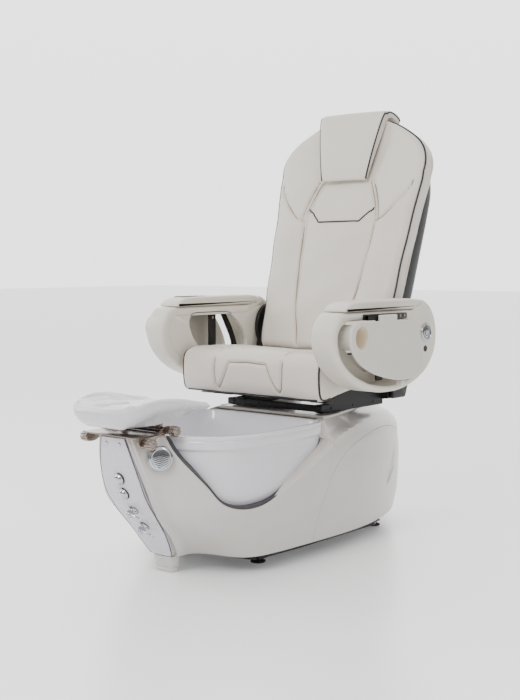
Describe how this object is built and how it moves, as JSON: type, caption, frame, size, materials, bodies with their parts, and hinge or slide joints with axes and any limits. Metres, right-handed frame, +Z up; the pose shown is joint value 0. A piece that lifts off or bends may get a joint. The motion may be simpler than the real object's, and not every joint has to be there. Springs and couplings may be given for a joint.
{
  "type": "pedicure spa chair",
  "caption": "Reclining pedicure spa chair: moulded pearl base with a foot basin, tilting footrest, leather seat and back, lifting arms with fold-up trays.",
  "frame": {"origin": "middle of the bounding box, on the floor", "axes": "+Z up; the sitter faces -Y; +X is the sitter's left"},
  "size_m": [0.857, 1.384, 1.4358],
  "materials": {
    "pearl_shell": "pearl gloss",
    "bowl_white": "high gloss",
    "panel_pearl": "pearl gloss",
    "ivory_plastic": "satin",
    "tray_plastic": "satin",
    "leather": "fine grain, satin",
    "footrest_white": "gloss",
    "chrome": "polished",
    "stainless": "satin",
    "black_metal": "satin black",
    "black_plastic": "satin black",
    "rubber": "matt",
    "brass": "cast"
  },
  "bodies": {
    "base": {"base_shell": "pearl_shell", "rear_cover": "pearl_shell", "deck_plate": "pearl_shell", "prow_foot": "pearl_shell", "basin_left": "bowl_white", "basin_right": "bowl_white", "front_panel": "panel_pearl", "water_valve": "brass", "spray_socket": "chrome", "base_frame": "black_metal", "foot_front_left": "rubber", "foot_front_right": "rubber", "foot_rear_left": "rubber", "foot_rear_right": "rubber", "drain_fitting": "chrome", "drain_pipe": "black_plastic", "jet_housing": "black_plastic", "jet_motor": "black_metal", "jet_cover": "chrome", "footrest_mount": "stainless", "rail_crossbar": "black_metal", "seat_rail_left": "black_metal", "seat_rail_right": "black_metal"},
    "footrest_carriage": {"footrest_carriage": "stainless"},
    "footrest": {"footrest_pad": "footrest_white"},
    "jet_button": {"jet_button": "chrome"},
    "light_button": {"light_button": "chrome"},
    "hot_handle": {"hot_handle": "chrome"},
    "cold_handle": {"cold_handle": "chrome"},
    "spray_head": {"spray_head": "chrome"},
    "drain_stopper": {"drain_stopper": "chrome"},
    "jet_impeller": {"jet_impeller": "black_plastic"},
    "seat": {"seat_frame": "black_metal", "seat_cushion": "leather", "recline_actuator": "black_plastic", "arm_mount_left": "black_metal", "arm_mount_right": "black_metal"},
    "recline_rod": {"recline_rod": "stainless"},
    "back": {"back_cushion": "leather", "head_pillow": "leather", "back_shell": "black_plastic", "back_frame": "black_metal", "massage_rails": "stainless"},
    "massage_carriage": {"massage_carriage": "black_metal"},
    "clamp_knob_left": {"clamp_knob_left": "stainless"},
    "tilt_knob_left": {"tilt_knob_left": "stainless"},
    "massage_roller_left": {"massage_roller_left": "rubber"},
    "arm_left": {"arm_shell_left": "ivory_plastic", "arm_lid_left": "ivory_plastic", "arm_cap_left": "chrome", "tray_hinge_left": "black_metal"},
    "tray_left": {"tray_left": "tray_plastic"},
    "clamp_knob_right": {"clamp_knob_right": "stainless"},
    "tilt_knob_right": {"tilt_knob_right": "stainless"},
    "massage_roller_right": {"massage_roller_right": "rubber"},
    "arm_right": {"arm_shell_right": "ivory_plastic", "arm_lid_right": "ivory_plastic", "arm_cap_right": "chrome", "tray_hinge_right": "black_metal"},
    "tray_right": {"tray_right": "tray_plastic"}
  },
  "joints": [
    {"name": "footrest_slide", "type": "slide", "parent": "base", "child": "footrest_carriage", "axis": [0, 1, 0], "range_m": [-0.02, 0.02]},
    {"name": "footrest_tilt", "type": "hinge", "parent": "footrest_carriage", "child": "footrest", "pos_m": [0, -0.511, 0.441], "axis": [1, 0, 0], "range_deg": [-25, 8]},
    {"name": "clamp_knob_left_turn", "type": "hinge", "parent": "base", "child": "clamp_knob_left", "pos_m": [0.132, -0.606, 0.414], "axis": [1, 0, 0], "continuous": true},
    {"name": "tilt_knob_left_turn", "type": "hinge", "parent": "footrest_carriage", "child": "tilt_knob_left", "pos_m": [0.132, -0.511, 0.441], "axis": [1, 0, 0], "continuous": true},
    {"name": "clamp_knob_right_turn", "type": "hinge", "parent": "base", "child": "clamp_knob_right", "pos_m": [-0.132, -0.606, 0.414], "axis": [1, 0, 0], "continuous": true},
    {"name": "tilt_knob_right_turn", "type": "hinge", "parent": "footrest_carriage", "child": "tilt_knob_right", "pos_m": [-0.132, -0.511, 0.441], "axis": [1, 0, 0], "continuous": true},
    {"name": "jet_button_press", "type": "slide", "parent": "base", "child": "jet_button", "axis": [0, 0.9618, 0.2737], "range_m": [0, 0.003], "stiffness_N_per_m": 500, "springref_m": -0.002},
    {"name": "light_button_press", "type": "slide", "parent": "base", "child": "light_button", "axis": [0, 0.9285, 0.3714], "range_m": [0, 0.003], "stiffness_N_per_m": 500, "springref_m": -0.002},
    {"name": "hot_handle_turn", "type": "hinge", "parent": "base", "child": "hot_handle", "pos_m": [0, -0.5474, 0.205], "axis": [0, -0.8269, -0.5623], "range_deg": [0, 90]},
    {"name": "cold_handle_turn", "type": "hinge", "parent": "base", "child": "cold_handle", "pos_m": [0, -0.504, 0.15], "axis": [0, -0.7809, -0.6247], "range_deg": [0, 90]},
    {"name": "spray_pull", "type": "slide", "parent": "base", "child": "spray_head", "axis": [0.8401, -0.5401, 0.05], "range_m": [0, 0.06]},
    {"name": "drain_stopper_lift", "type": "slide", "parent": "base", "child": "drain_stopper", "axis": [0, 0, 1], "range_m": [0, 0.01]},
    {"name": "jet_impeller_spin", "type": "hinge", "parent": "base", "child": "jet_impeller", "pos_m": [0, 0.064, 0.285], "axis": [0, 1, 0], "continuous": true},
    {"name": "seat_slide", "type": "slide", "parent": "base", "child": "seat", "axis": [0, 1, 0], "range_m": [-0.05, 0.1]},
    {"name": "recline", "type": "hinge", "parent": "seat", "child": "back", "pos_m": [0, 0.39192, 0.5631], "axis": [-1, 0, 0], "range_deg": [0, 35]},
    {"name": "recline_rod_slide", "type": "slide", "parent": "seat", "child": "recline_rod", "axis": [0, 1, 0], "range_m": [-0.055, 0]},
    {"name": "massage_travel", "type": "slide", "parent": "back", "child": "massage_carriage", "axis": [0, 0.2924, 0.9563], "range_m": [-0.19, 0.23]},
    {"name": "massage_roller_left_spin", "type": "hinge", "parent": "massage_carriage", "child": "massage_roller_left", "pos_m": [0.075, 0.5121, 0.92372], "axis": [1, 0, 0], "continuous": true},
    {"name": "arm_lift_left", "type": "hinge", "parent": "seat", "child": "arm_left", "pos_m": [0.304, 0.401, 0.689], "axis": [-1, 0, 0], "range_deg": [0, 75]},
    {"name": "tray_fold_left", "type": "hinge", "parent": "arm_left", "child": "tray_left", "pos_m": [0.422, 0.129, 0.751], "axis": [0, -1, 0], "range_deg": [0, 90]},
    {"name": "massage_roller_right_spin", "type": "hinge", "parent": "massage_carriage", "child": "massage_roller_right", "pos_m": [-0.075, 0.5121, 0.92372], "axis": [1, 0, 0], "continuous": true},
    {"name": "arm_lift_right", "type": "hinge", "parent": "seat", "child": "arm_right", "pos_m": [-0.304, 0.401, 0.689], "axis": [-1, 0, 0], "range_deg": [0, 75]},
    {"name": "tray_fold_right", "type": "hinge", "parent": "arm_right", "child": "tray_right", "pos_m": [-0.422, 0.129, 0.751], "axis": [0, 1, 0], "range_deg": [0, 90]}
  ],
  "couplings": [
    {"joint": "recline_rod_slide", "follows": "recline", "m_per_rad": -0.08861}
  ]
}
